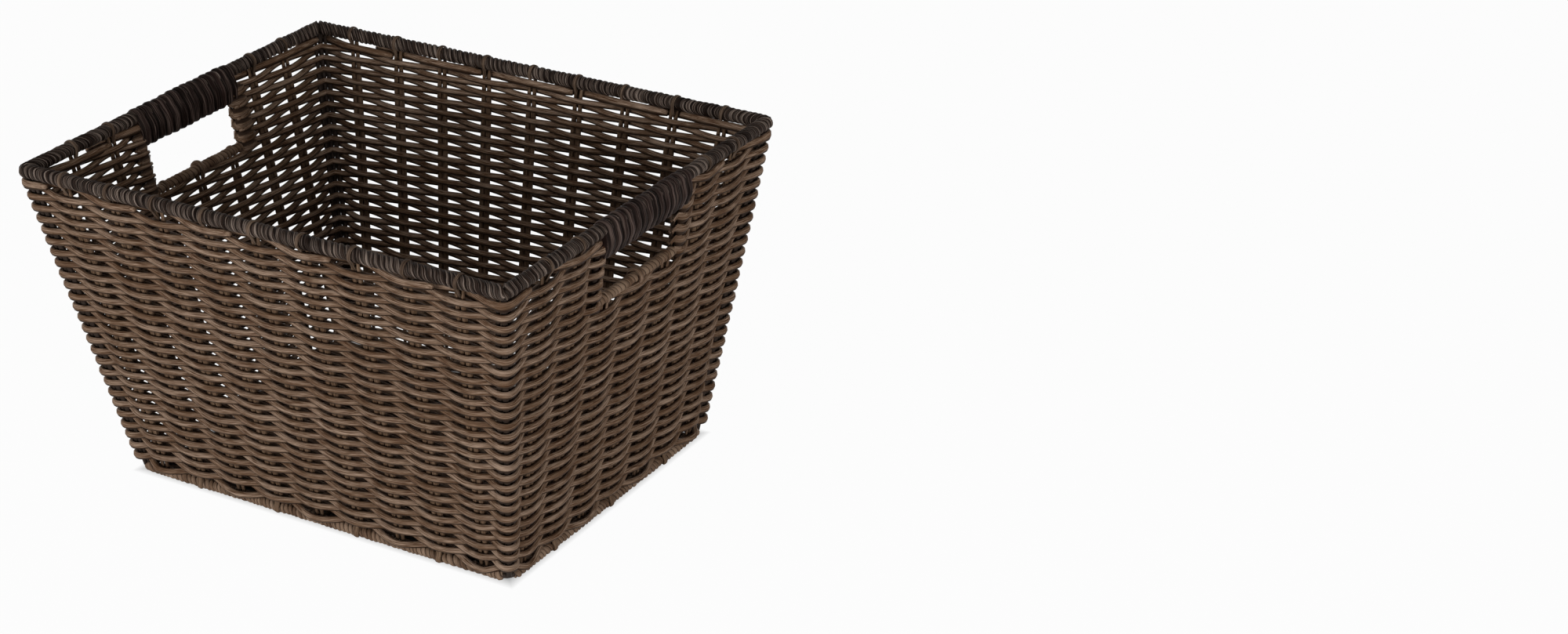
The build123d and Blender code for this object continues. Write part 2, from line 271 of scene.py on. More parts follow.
def wall_size(height):
    """Half length and half width of the walls' middle line at a height up the slope."""
    share = height / SLOPE
    return BASE[0] + FLARE * share, BASE[1] + FLARE * share


def wall_spots(s, height, bend, lift=0.0, out=0.0):
    """Points on the walls with their outward directions: s round the basket, height up the slope."""
    spot, normal = loop_spots(*wall_size(height), bend, s)
    flat = np.zeros(len(normal))
    outs = np.stack([normal.real * cos(LEAN), normal.imag * cos(LEAN), flat - sin(LEAN)], axis=1)
    ups = np.stack([normal.real * sin(LEAN), normal.imag * sin(LEAN), flat + cos(LEAN)], axis=1)
    points = np.stack([spot.real, spot.imag, flat + BASE[2] + RISE * height / SLOPE], axis=1)
    points = points + ups * np.reshape(lift, (-1, 1)) + outs * np.reshape(out, (-1, 1))
    return points, outs


def stations(height, bend):
    """Distances of the stakes and corner posts round the walls at a height, and the whole way round."""
    runs = loop_runs(*wall_size(height), bend)
    halves = (runs[0], runs[2] / 2)
    turn = runs[1]
    counts = (LONG_STAKES, SHORT_STAKES)
    steps = [step[0] + (step[1] - step[0]) * height / SLOPE for step in (LONG_STEP, SHORT_STEP)]
    places = []
    middle = 0.0
    for side in range(4):
        kind = side % 2
        places.extend(middle + (order - counts[kind] // 2) * steps[kind] for order in range(counts[kind]))
        places.append(middle + halves[kind] + turn / 2)
        middle += halves[0] + halves[1] + turn
    return np.array(places), runs.sum()


# Places in the list of stations
CORNER_FRONT_RIGHT = LONG_STAKES
RIGHT_MIDDLE = LONG_STAKES + 1 + SHORT_STAKES // 2
CORNER_BACK_RIGHT = LONG_STAKES + 1 + SHORT_STAKES
LEFT_MIDDLE = RIGHT_MIDDLE + STATIONS // 2
CORNERS = (CORNER_FRONT_RIGHT, CORNER_BACK_RIGHT,
           CORNER_FRONT_RIGHT + STATIONS // 2, CORNER_BACK_RIGHT + STATIONS // 2)


# Forms: points, faces and where each face's corners lie on their strand

def tube_faces(rings, sides, closed, lean=0):
    """Quads between neighbouring rings, leaning by some rings from one side to the next."""
    ring = np.arange(rings if closed else rings - 1 - lean)
    i, j = np.meshgrid(ring, np.arange(sides), indexing="ij")
    following = (j + 1) % sides

    def at(k, side):
        return (k % rings) * sides + side

    quads = [at(i, j), at(i + 1, j), at(i + 1 + lean, following), at(i + lean, following)]
    return np.stack(quads, axis=-1).reshape(-1, 4).tolist()


def face_corners(faces):
    """Point numbers at all the faces' corners, in order."""
    return [corner for face in faces for corner in face]


def strand(points, outs, tall, deep, closed=False, sides=STRAND_SIDES, swell=1.0):
    """An oval strand along points: tall across the wall's outward direction and deep along it."""
    if closed:
        tangents = np.roll(points, -1, axis=0) - np.roll(points, 1, axis=0)
    else:
        tangents = np.gradient(points, axis=0)
    tangents /= np.linalg.norm(tangents, axis=1, keepdims=True)
    across = np.cross(tangents, outs)
    across /= np.linalg.norm(across, axis=1, keepdims=True)
    outward = np.cross(across, tangents)
    angles = 2 * pi * np.arange(sides) / sides
    count = len(points)
    up = np.outer(np.broadcast_to(tall * swell, count) / 2, np.cos(angles))
    off = np.outer(np.broadcast_to(deep * swell, count) / 2, np.sin(angles))
    skin = points[:, None] + across[:, None] * up[..., None] + outward[:, None] * off[..., None]
    run = np.concatenate([[0], np.cumsum(np.linalg.norm(np.diff(points, axis=0), axis=1))])
    if closed:
        whole = run[-1] + np.linalg.norm(points[0] - points[-1])
        run = np.minimum(run, whole - run)
    run = run + rng.uniform(0, STREAK_SHIFT)
    lie = np.stack([np.broadcast_to(run[:, None], up.shape), up, off], axis=-1)
    faces = tube_faces(count, sides, closed)
    if not closed:
        faces.append(list(range(sides)))
        faces.append(list(range(count * sides - 1, (count - 1) * sides - 1, -1)))
    return skin.reshape(-1, 3), faces, lie.reshape(-1, 3)[face_corners(faces)]


def rounded_ends(count, end=0.5):
    """Swell factors that draw in the two ends of a strand."""
    swell = np.ones(count)
    swell[[0, -1]] = end
    swell[[1, -2]] = (1 + end) / 2
    return swell


def winding(length, pitch, outline, ridge, place, closed=False, starts=1, steps=16, uneven=0.0):
    """Straps wound side by side round a bar whose outline and place in the basket are functions."""
    offsets, normals, around = outline(steps * starts)
    sides = len(offsets)
    turns = starts * round(length / (pitch * starts))
    rings = turns * steps + (0 if closed else 1)
    ring, side = np.meshgrid(np.arange(rings), np.arange(sides), indexing="ij")
    phase = ring - side
    turn = phase // steps
    across = (phase % steps) / steps
    straps = turns if closed else turns + starts
    crown = ridge * rng.uniform(*RIDGE_RANGE, straps)[turn % straps]
    crown = crown * (1 - np.abs(2 * across - 1) ** CROWN_BROAD) ** CROWN_ROUND
    widths = 1 + uneven * rng.uniform(-1, 1, turns)
    edges = np.concatenate([[0], np.cumsum(widths)]) * length / widths.sum()
    s = np.interp(np.arange(rings) / steps, np.arange(turns + 1), edges)
    points = place(s, offsets[None] + normals[None] * crown[..., None])
    faces = [face[::-1] for face in tube_faces(rings, sides, closed, lean=1)]
    facets = len(faces) // sides
    step = np.array([0, 1, 1, 0]) / steps
    round_step = np.array([1, 1, 0, 0])
    run = (turn[:facets, :, None] / starts + (side[:facets, :, None] + round_step) / sides) * around
    width = (across[:facets, :, None] + step - 0.5) * pitch
    if closed:
        whole = turns / starts * around
        run = np.abs((run + whole / 2) % whole - whole / 2)
    depth = crown.ravel()[face_corners(faces)].reshape(run.shape)
    lie = np.stack([run, width, depth], axis=-1).reshape(-1, 3)
    if not closed:
        first = np.arange(sides)
        second = sides + (first + 1) % sides
        cap = np.stack([first, second], axis=1).ravel()
        faces.append(cap[::-1].tolist())
        faces.append((cap + (rings - 2) * sides).tolist())
        lie = np.concatenate([lie, np.zeros((2 * len(cap), 3))])
    return points.reshape(-1, 3), faces, lie


def drawn_in(s, length, taper, least):
    """Shares of a winding's size at distances s, less towards its two ends."""
    apart = np.minimum(s, length - s)
    return (least + (1 - least) * np.clip(apart / taper, 0, 1) ** 0.5)[:, None]


def round_outline(radius):
    """A bar's round outline: offsets out and up, their normals and the way round."""
    def outline(sides):
        angles = 2 * pi * np.arange(sides) / sides
        normals = np.stack([np.cos(angles), -np.sin(angles)], axis=1)
        return radius * normals, normals, 2 * pi * radius
    return outline


def make_piece(name, forms, finish, slot, *nodes):
    """One named piece from several forms, riding on the basket."""
    points = np.concatenate([form[0] for form in forms])
    lie = np.concatenate([form[2] for form in forms])
    faces = []
    start = 0
    for form in forms:
        faces.extend([start + corner for corner in face] for face in form[1])
        start += len(form[0])
    mesh = bpy.data.meshes.new(name)
    mesh.from_pydata(points.tolist(), [], faces)
    mesh.attributes.new("lie", "FLOAT_VECTOR", "CORNER").data.foreach_set("vector", lie.ravel())
    mesh.shade_smooth()
    mesh.materials.append(finish)
    piece = bpy.data.objects.new(name, mesh)
    bpy.context.scene.collection.objects.link(piece)
    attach(piece, "root")
    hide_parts(*nodes)


# Finishes

class Shade:
    """A socket of a finish, with arithmetic that adds Math nodes."""

    def __init__(self, tree, socket):
        self.tree = tree
        self.socket = socket

    def math(self, operation, first, second=0.0):
        node = self.tree.nodes.new("ShaderNodeMath")
        node.operation = operation
        feed(self.tree, node.inputs[0], first)
        feed(self.tree, node.inputs[1], second)
        return Shade(self.tree, node.outputs[0])

    def __add__(self, other):
        return self.math("ADD", self, other)

    __radd__ = __add__

    def __sub__(self, other):
        return self.math("SUBTRACT", self, other)

    def __rsub__(self, other):
        return self.math("SUBTRACT", other, self)

    def __mul__(self, other):
        return self.math("MULTIPLY", self, other)

    __rmul__ = __mul__

    def __abs__(self):
        return self.math("ABSOLUTE", self)


def feed(tree, socket, value):
    """Links a shade to a socket, or sets the socket's own value."""
    if isinstance(value, Shade):
        tree.links.new(value.socket, socket)
    else:
        socket.default_value = value


class Nodes:
    """A node tree under the making: nodes are added by type, settings and sockets."""

    def __init__(self, tree):
        self.tree = tree

    def node(self, kind, settings, sockets, output=0):
        node = self.tree.nodes.new("ShaderNode" + kind)
        for name, value in settings.items():
            setattr(node, name, value)
        for name, value in sockets.items():
            feed(self.tree, node.inputs[name], value)
        return Shade(self.tree, node.outputs[output])

    def seen(self):
        """1 for rays from the camera, in a reflection or through something clear."""
        kinds = ("Is Camera Ray", "Is Glossy Ray", "Is Transmission Ray")
        camera, glossy, clear = [self.node("LightPath", {}, {}, kind) for kind in kinds]
        return camera + glossy + clear


class Finish(Nodes):
    """A material under the making."""

    def __init__(self, name):
        self.material = bpy.data.materials.new(name)
        self.material.use_nodes = True
        super().__init__(self.material.node_tree)
        self.shader = self.tree.nodes["Principled BSDF"]

    def lie(self):
        return self.node("Attribute", {"attribute_name": "lie"}, {}, "Vector")

    def noise(self, vector, scale, detail=2.0):
        stretched = self.node("VectorMath", {"operation": "MULTIPLY"}, {0: vector, 1: scale})
        return self.node("TexNoise", {}, {"Vector": stretched, "Scale": 1.0, "Detail": detail,
                                          "Roughness": 0.6})

    def ramp(self, value, low, high):
        return self.node("MapRange", {"clamp": True},
                         {"Value": value, "From Min": low, "From Max": high})

    def mix(self, factor, first, second):
        return self.node("Mix", {"data_type": "RGBA"}, {0: factor, 6: first, 7: second}, 2)

    def bump(self, height, strength, distance):
        return self.node("Bump", {}, {"Height": height, "Strength": strength, "Distance": distance})

    def done(self, sockets):
        for name, value in sockets.items():
            feed(self.tree, self.shader.inputs[name], value)
        return self.material


def colour(red, green, blue):
    """A colour as it shows on a screen, 0 to 255, as the shader's own values."""
    parts = [part / 255 for part in (red, green, blue)]
    return tuple(p / 12.92 if p <= 0.04045 else ((p + 0.055) / 1.055) ** 2.4 for p in parts) + (1.0,)


# Dark browns for painted shade: under the wall strands, and in the grooves between wound turns
SHADE_BROWN = colour(30, 18, 10)
GROOVE_SHADE = colour(14, 9, 7)


# Noise scales are changes in a metre along a strand, across it and into it

def strand_finish(name, deep, body, pale, under_shade=0.0):
    """Round synthetic cane: long streaks, slow changes of tone, and painted shade along its lower side."""
    finish = Finish(name)
    lie = finish.lie()
    streaks = finish.noise(lie, (90, 2200, 2200), 3.0)
    tone = finish.noise(lie, (9, 90, 90), 1.0)
    shade = finish.mix(finish.ramp(streaks, 0.34, 0.56), deep, body)
    shade = finish.mix(finish.ramp(tone * 0.5 + streaks, 0.71, 0.95), shade, pale)
    # Painted shade: the strand's lower side is darkened towards a shade brown, by the share given for it
    down = finish.node("SeparateXYZ", {}, {0: lie}, "Y")
    lower = finish.ramp(down, -0.06 * STRAND_TALL, 0.26 * STRAND_TALL)
    return finish.done({
        "Base Color": finish.mix(lower * under_shade, shade, SHADE_BROWN),
        "Roughness": 0.46 + streaks * 0.25,
        "Specular IOR Level": CANE_SHEEN,
        "Normal": finish.bump(streaks, 0.35, GRAIN),
    })


def wrap_finish(name, deep, body, pale, width):
    """Brown strand wound side by side: streaks along it, and painted shade darkening each edge, in the
    groove between turns.
    """
    finish = Finish(name)
    lie = finish.lie()
    streaks = finish.noise(lie, (90, 1800, 300), 3.0)
    tone = finish.noise(lie, (26, 60, 60), 1.0)
    apart = finish.node("SeparateXYZ", {}, {0: lie}, "Y")
    # Painted shade in the grooves between turns: each edge of the strand is darkened
    groove_shade = finish.ramp(abs(apart), 0.36 * width, STRAP_EDGE * width)
    shade = finish.mix(finish.ramp(streaks, 0.36, 0.62), deep, body)
    shade = finish.mix(finish.ramp(tone + streaks * 0.35, 0.56, 0.82), shade, pale)
    return finish.done({
        "Base Color": finish.mix(groove_shade * 0.85, shade, SHADE_BROWN),
        "Roughness": 0.5 + streaks * 0.25,
        "Specular IOR Level": CANE_SHEEN,
        "Normal": finish.bump(streaks, 0.35, GRAIN),
    })


def strap_finish(name, deep, body, hair, width, edge):
    """Flat dark strap: fine pale hairs along its length, and painted shade darkening each edge, in the
    groove between turns.
    """
    finish = Finish(name)
    lie = finish.lie()
    hairs = finish.noise(lie, (40, 1700, 200), 2.0)
    tone = finish.noise(lie, (14, 120, 60), 1.0)
    apart = finish.node("SeparateXYZ", {}, {0: lie}, "Y")
    # Painted shade in the grooves between turns: each edge of the strap is darkened
    groove_shade = finish.ramp(abs(apart), edge * width, STRAP_EDGE * width)
    shade = finish.mix(finish.ramp(tone, 0.35, 0.65), deep, body)
    shade = finish.mix(finish.ramp(hairs + tone * 0.25, 0.62, 0.8), shade, hair)
    return finish.done({
        "Base Color": finish.mix(groove_shade * 0.9, shade, GROOVE_SHADE),
        "Roughness": 0.42 + hairs * 0.3,
        "Specular IOR Level": STRAP_SHEEN,
        "Normal": finish.bump(hairs, 0.4, GRAIN),
    })


def wire_finish(name):
    """Dark painted wire with a slightly uneven coat."""
    finish = Finish(name)
    where = finish.node("TexCoord", {}, {}, "Object")
    coat = finish.noise(where, (420, 420, 420), 2.0)
    return finish.done({
        "Base Color": finish.mix(coat, colour(32, 25, 21), colour(56, 45, 38)),
        "Roughness": 0.45 + coat * 0.3,
        "Specular IOR Level": WIRE_SHEEN,
        "Normal": finish.bump(coat, 0.15, WIRE_GRAIN),
    })


# The last number of a cane finish is the share of painted shade on its lower side
CANE = strand_finish("brown_cane", colour(60, 38, 22), colour(103, 80, 62), colour(152, 130, 112), 0.92)
STAKE_CANE = strand_finish("stake_cane", colour(64, 47, 34), colour(96, 75, 58), colour(116, 95, 77))
BASE_CANE = wrap_finish("base_edge_cane", colour(68, 49, 36), colour(104, 82, 65), colour(132, 110, 92),
                        BASE_STRAP)
SILL_CANE = wrap_finish("sill_cane", colour(72, 53, 40), colour(108, 85, 67), colour(134, 112, 93),
                        SILL_STRAP)
LOOP_CANE = strand_finish("loop_cane", colour(70, 50, 36), colour(110, 87, 69), colour(146, 124, 106), 0.5)
TIE_CANE = strand_finish("tie_cane", colour(38, 29, 23), colour(70, 55, 44), colour(108, 91, 77))
# For the dark straps, the last number is where the painted groove shade begins, as a share of the strap's
# width
DARK_STRAP = strap_finish("dark_strap", colour(24, 16, 12), colour(46, 35, 29), colour(134, 120, 110),
                          RIM_STRAP, 0.27)
GRIP_FINISH = strap_finish("grip_strap", colour(16, 9, 7), colour(38, 26, 23), colour(104, 89, 82),
                           GRIP_STRAP, 0.14)
WIRE = wire_finish("painted_wire")


# Woven walls

def row_path(places, signs, wander, swing, corners):
    """Distances, lifts and offsets of a row that goes over and under at each of its stations."""
    s, lift, out = [], [], []
    for span in range(len(places) - 1):
        near, far = corners[span], corners[span + 1]
        steps = CORNER_STEPS if near or far else SPAN_STEPS
        share = np.arange(steps) / steps
        if near:
            share = share ** 2
        elif far:
            share = 1 - (1 - share) ** 2
        ease = (1 - np.cos(pi * share)) / 2
        s.append(places[span] + (places[span + 1] - places[span]) * share)
        lift.append(wander[span] + (wander[span + 1] - wander[span]) * ease)
        first = signs[span] * swing[span]
        last = signs[span + 1] * swing[span + 1]
        out.append(first + (last - first) * ease)
    return np.concatenate(s), np.concatenate(lift), np.concatenate(out)


def row_height(row):
    """How far up the slope a row lies."""
    return FIRST_ROW + ROW_PITCH * row


def row_signs(row, used):
    """Outside or inside at each station, the other way round from the row below."""
    return np.where((used + row) % 2 == 0, 1.0, -1.0)


def row_bend(row):
    """The walls' corner radius for a row."""
    return OUTSIDE_BEND if row_signs(row, CORNER_FRONT_RIGHT) > 0 else INSIDE_BEND


def pressed(s, out, posts, broad=BEND_TALL, reach=BEND_REACH):
    """Height and depth of a strand at distances s, broad at crossings and at posts that it bends round."""
    apart = np.abs(s[:, None] - np.append(posts, np.inf))
    flat = np.exp(-(apart / np.append(np.broadcast_to(reach, len(posts)), BEND_REACH)) ** 2)
    tall = 1 + np.max(flat * np.append(np.broadcast_to(broad, len(posts)), 0), axis=1)
    tall = tall + CROSS_TALL * (1 - np.minimum(np.abs(out) / WAVE, 1) ** 2)
    return STRAND_TALL * tall, STRAND_DEEP * (1 - BEND_THIN * np.max(flat, axis=1))


def round_row(row):
    """A row of the weave that goes the whole way round."""
    height = row_height(row)
    bend = row_bend(row)
    used = np.arange(STATIONS + 1)
    corners = np.isin(used % STATIONS, CORNERS)
    places, around = stations(height, bend)
    places = np.append(places, places[0] + around)
    signs = row_signs(row, used)
    wander = rng.normal(0, ROW_WANDER, STATIONS)
    swing = WAVE * rng.normal(1, WAVE_WANDER, STATIONS)
    swing = np.where(corners[:-1] & (signs[:-1] < 0), INSIDE_SWING * swing, swing)
    if row == 0:
        outside = signs[:-1] > 0
        wander = wander - np.where(outside, FOOT_ROW_DROOP, 0)
        swing = swing + np.where(outside, FOOT_ROW_SWING, 0)
    wander = np.append(wander, wander[0])
    swing = np.append(swing, swing[0])
    s, lift, out = row_path(places, signs, wander, swing, corners)
    points, outs = wall_spots(s, height, bend, lift, out)
    tall, deep = pressed(s, out, places[corners & (signs > 0)])
    return strand(points, outs, tall, deep, closed=True)


def hole_middle(spots, station, around):
    """Distance round to the middle of the hand hole beside a station."""
    middle = RIGHT_MIDDLE if abs(station % STATIONS - RIGHT_MIDDLE) == 1 else LEFT_MIDDLE
    return spots[middle] + around * (station // STATIONS)


def part_places(row, first, last):
    """Stations of a row between the two hand holes, their distances, and which of them it bends round."""
    used = np.arange(first, last + 1)
    spots, around = stations(row_height(row), row_bend(row))
    places = spots[used % STATIONS] + around * (used // STATIONS)
    places[0] = hole_middle(spots, first, around) + HOLE_POST
    places[-1] = hole_middle(spots, last, around) - HOLE_POST
    return used, places, np.isin(used % STATIONS, CORNERS)


def turned_end(place, sign, heading):
    """A row's end at a hand hole's post: a half turn round it from outside, or a short end inside it."""
    if sign < 0:
        return place + heading * ROW_END * np.array([0.5, 1.0]), np.full(2, -WAVE)
    angles = np.radians(np.linspace(*POST_TURN, POST_TURN_STEPS))
    stub = np.linspace(0.25, 1.0, 4)
    s = np.concatenate([place + heading * WAVE * np.cos(angles), place - heading * ROW_STUB * stub])
    out = np.concatenate([WAVE * np.sin(angles), -WAVE * (1 + STUB_DRIFT * stub)])
    return s, out


def part_row(row, first, last):
    """A row of the weave between the two hand holes, turned back at their posts."""
    used, places, corners = part_places(row, first, last)
    signs = row_signs(row, used)
    wander = rng.normal(0, ROW_WANDER, len(used))
    swing = WAVE * rng.normal(1, WAVE_WANDER, len(used))
    swing = np.where(corners & (signs < 0), INSIDE_SWING * swing, swing)
    swing[[0, -1]] = WAVE
    s, lift, out = row_path(places, signs, wander, swing, corners)
    head_s, head_out = turned_end(places[0], signs[0], -1)
    tail_s, tail_out = turned_end(places[-1], signs[-1], 1)
    s = np.concatenate([head_s[::-1], s, [places[-1]], tail_s])
    out = np.concatenate([head_out[::-1], out, [signs[-1] * WAVE], tail_out])
    lift = np.concatenate([np.full(len(head_s), wander[0]), lift, np.full(len(tail_s) + 1, wander[-1])])
    points, outs = wall_spots(s, row_height(row), row_bend(row), lift, out)
    broad = np.where(corners, BEND_TALL, 0.0)
    broad[[0, -1]] = POST_TALL
    reach = np.where(corners, BEND_REACH, POST_REACH)
    bent = (broad > 0) & (signs > 0)
    crests = places + WAVE * np.array([-1] + [0] * (len(places) - 2) + [1])
    tall, deep = pressed(s, out, crests[bent], broad[bent], reach[bent])
    return strand(points, outs, tall, deep, swell=rounded_ends(len(points)))


def top_row(first, last):
    """The last row, of short strands: each starts behind the one before and ends under the rim."""
    row = ROW_COUNT - 1
    used, places, corners = part_places(row, first, last)
    signs = row_signs(row, used)
    strands = []
    for order in range(1, len(used) - 1):
        if signs[order] < 0:
            continue
        reach = 1.0 if order == len(used) - 2 else TOP_ROW_TAIL
        tail = places[order] + reach * (places[order + 1] - places[order])
        before = max(order - 2, 0)
        head = places[before] + TOP_ROW_HEAD * (places[order - 1] - places[before])
        path = np.array([head, places[order - 1], places[order], tail])
        rise = np.array(TOP_ROW_LIFTS) * TOP_ROW_RISE + rng.normal(0, ROW_WANDER, 4)
        rise[:2] -= TOP_ROW_DROOP * corners[order]
        swing = WAVE * np.array(TOP_ROW_SWINGS)
        bends = np.array([False, corners[order - 1], corners[order], False])
        s, lift, out = row_path(path, np.array([-1.0, -1.0, 1.0, 1.0]), rise, swing, bends)
        points, outs = wall_spots(s, row_height(row), row_bend(row), lift, out)
        tall, deep = pressed(s, out, places[[order]][corners[[order]]])
        swell = rounded_ends(len(points), TOP_ROW_END)
        strands.append(strand(points, outs, TOP_ROW_TALL * tall, deep, swell=swell))
    return strands


def weave_walls():
    """All rows of the four walls, in bands."""
    sill = SLOPE - SILL_DROP - SILL_RADIUS
    whole = [row for row in range(ROW_COUNT) if row_height(row) < sill]
    upper = range(len(whole), ROW_COUNT - 1)
    half = len(whole) // 2
    make_piece("wall_rows_lower", [round_row(row) for row in whole[:half]], CANE, "woven_strand",
               "woven_left_lower", "woven_right_lower")
    make_piece("wall_rows_middle", [round_row(row) for row in whole[half:]], CANE, "woven_strand",
               "woven_front", "woven_back")
    for name, first, last in (("front", LEFT_MIDDLE + 1, RIGHT_MIDDLE - 1 + STATIONS),
                              ("back", RIGHT_MIDDLE + 1, LEFT_MIDDLE - 1)):
        rows = [part_row(row, first, last) for row in upper] + top_row(first, last)
        make_piece(f"wall_rows_{name}", rows, CANE, "woven_strand",
                   f"woven_left_{name}", f"woven_right_{name}")


weave_walls()


# Stakes

def bar_turn(bar, radius, first, last, count):
    """Heights and offsets of a band that goes round a bar in the wall, between two angles."""
    angles = np.radians(np.linspace(first, last, count))
    return bar + radius * np.sin(angles), radius * np.cos(angles)


def upright(station, aside, heights, out, wide, deep):
    """A strand up the wall beside a station, at heights up the slope and offsets out of the wall."""
    low, high = [stations(height, OUTSIDE_BEND)[0][station] for height in (0.0, SLOPE)]
    places = low + (high - low) * heights / SLOPE + aside
    spots = [wall_spots(np.array([place]), height, OUTSIDE_BEND, 0.0, off)
             for place, height, off in zip(places, heights, out)]
    points = np.concatenate([spot for spot, facing in spots])
    points[:, 2] = np.maximum(points[:, 2], FLOOR + deep / 2)
    around = np.cross(np.concatenate([facing for spot, facing in spots]), [0, 0, 1])
    outs = np.cross(np.gradient(points, axis=0), around)
    outs /= np.linalg.norm(outs, axis=1, keepdims=True)
    return strand(points, outs, wide, deep, swell=rounded_ends(len(points)))


def stake_rods(station, top):
    """The two rods of a stake, from the base edge into the bar above."""
    heights = np.linspace(STAKE_LOW, SLOPE - top - STAKE_SHORT, STAKE_STEPS)
    out = rng.normal(0, STAKE_WANDER, STAKE_STEPS)
    return [upright(station, side * STAKE_SPREAD, heights, out, STAKE_ROD, STAKE_DEEP) for side in (-1, 1)]


def stake_foot(station):
    """The flattened end of a rod, bent over the base edge from outside."""
    heights, out = bar_turn(0.0, BASE_RADIUS + FOOT_LIFT, *FOOT_TURN, FOOT_STEPS)
    heights = np.append(heights, FOOT_TAIL_UP)
    out = np.append(out, FOOT_TAIL_OUT)
    return upright(station, -STAKE_SPREAD / 2, heights, out, FOOT_WIDE, FOOT_DEEP)


def bar_tie(station, bar, radius, lift, wide, deep):
    """A tie from the weave up the outside of a bar, over it and down its inside."""
    heights, out = bar_turn(bar, radius + lift, *TIE_TURN, TIE_STEPS)
    tail_up = np.array(TIE_TAIL_UP)
    tail_out = np.array(TIE_TAIL_OUT)
    heights = np.concatenate([bar + tail_up, heights, bar + tail_up[:0:-1]])
    out = np.concatenate([tail_out, out, -tail_out[:0:-1]])
    return upright(station, rng.normal(0, TIE_WANDER), heights, out, wide, deep)


def set_stakes():
    """Pairs of rods at every stake, their feet and their ties, wall by wall."""
    walls = (("front", 0, LONG_STAKES), ("right", LONG_STAKES + 1, SHORT_STAKES),
             ("back", STATIONS // 2, LONG_STAKES), ("left", STATIONS // 2 + LONG_STAKES + 1, SHORT_STAKES))
    for wall, first, count in walls:
        rods, rim_ties, sill_ties = [], [], []
        for station in range(first, first + count):
            if min(abs(station - RIGHT_MIDDLE), abs(station - LEFT_MIDDLE)) <= 1:
                rods.extend(stake_rods(station, SILL_DROP))
                sill_tie = (TIE_LIFT, TIE_WIDE, TIE_DEEP)
                if station in (RIGHT_MIDDLE, LEFT_MIDDLE):
                    sill_tie = (LOOP_LIFT, LOOP_WIDE, LOOP_DEEP)
                sill_ties.append(bar_tie(station, SLOPE - SILL_DROP, SILL_RADIUS, *sill_tie))
            else:
                rods.extend(stake_rods(station, 0.0))
                rim_ties.append(bar_tie(station, SLOPE, RIM_RADIUS, TIE_LIFT, TIE_WIDE, TIE_DEEP))
            if station % 2 == 1:
                rods.append(stake_foot(station))
        make_piece(f"stake_rods_{wall}", rods, STAKE_CANE, "stake", f"stakes_{wall}")
        make_piece(f"rim_ties_{wall}", rim_ties, TIE_CANE, "dark_wrap")
        if sill_ties:
            make_piece(f"sill_ties_{wall}", sill_ties, LOOP_CANE, "brown_wrap")


set_stakes()


# Wires

def wire_form(points, outs, wire, closed=False):
    """A round wire along points."""
    return strand(points, outs, wire, wire, closed=closed, sides=WIRE_SIDES)


def set_corner_posts():
    """Round posts up the four corners inside the weave, each between two rods in the dark wire finish, as
    painted shade in the corner gaps.
    """
    names = ("front_right", "back_right", "back_left", "front_left")
    for station, name in zip(CORNERS, names):
        ends = []
        for height in (POST_SHORT, SLOPE - POST_SHORT):
            place = stations(height, OUTSIDE_BEND)[0][station]
            ends.append(wall_spots(np.array([place]), height, OUTSIDE_BEND)[0][0])
        heights = np.linspace(CORNER_SHORT, SLOPE - CORNER_SHORT, POST_STEPS)
        out = np.full(POST_STEPS, CORNER_OUT)
        rods = []
        for side in (-1, 1):
            rods.append(upright(station, side * CORNER_APART, heights, out, CORNER_WIDE, CORNER_DEEP))
        points = np.linspace(ends[0], ends[1], POST_STEPS)
        outs = np.tile([ends[1][0], ends[1][1], 0.0], (POST_STEPS, 1))
        post = wire_form(points, outs, POST_WIRE)
        # The rods take the dark wire finish: painted shade for cane that lies in shade in the corner gaps
        make_piece(f"corner_rod_{name}", [post] + rods, WIRE, "frame_wire", f"corner_post_{name}")


def set_base_ring():
    """The round wire under the base edge."""
    around = loop_runs(BASE[0], BASE[1], BASE_CORNER).sum()
    s = np.linspace(0, around, RING_STEPS, endpoint=False)
    spot, normal = loop_spots(BASE[0], BASE[1], BASE_CORNER, s)
    flat = np.zeros(len(spot))
    points = np.stack([spot.real, spot.imag, flat + BASE[2]], axis=1)
    outs = np.stack([normal.real, normal.imag, flat], axis=1)
    ring = wire_form(points, outs, BASE_WIRE, closed=True)
    make_piece("base_ring", [ring], WIRE, "frame_wire", "base_wire")


def short_wall(side, along, out, up):
    """Points on the right (1) or left (-1) wall: along it, out of it and up it from the rim wire."""
    along, out, up = np.broadcast_arrays(along, out, up)
    x = RIM[0] + out * cos(LEAN) + up * sin(LEAN)
    z = RIM[2] - out * sin(LEAN) + up * cos(LEAN)
    return np.stack([side * x, side * along, z], axis=-1)


def set_hole_frames():
    """The wire bent round each hand hole."""
    straight = HOLE_POST - HOLE_BEND
    low = HOLE_BEND - SILL_DROP
    post = np.linspace(0, low, HOLE_POST_STEPS)
    beside = np.full(HOLE_POST_STEPS, HOLE_POST)
    angles = np.radians(np.arange(HOLE_BEND_STEP, 90, HOLE_BEND_STEP))
    across = HOLE_BEND * np.sin(angles)
    down = HOLE_BEND * np.cos(angles)
    along = np.concatenate([-beside, -straight - down, np.linspace(-straight, straight, SILL_STEPS),
                            straight + across, beside])
    up = np.concatenate([post, low - across, np.full(SILL_STEPS, -SILL_DROP), low - down, post[::-1]])
    for name, side in (("right", 1), ("left", -1)):
        points = short_wall(side, along, 0.0, up)
        outs = np.tile([side * cos(LEAN), 0.0, -sin(LEAN)], (len(points), 1))
        make_piece(f"hole_wire_{name}", [wire_form(points, outs, HOLE_WIRE)], WIRE, "frame_wire",
                   f"handle_frame_{name}")


set_corner_posts()
set_base_ring()
set_hole_frames()
for node in ("rim_wire", "grip_bar_left", "grip_bar_right"):
    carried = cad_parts[node]
    carried.data.materials.clear()
    carried.data.materials.append(WIRE)


# Windings

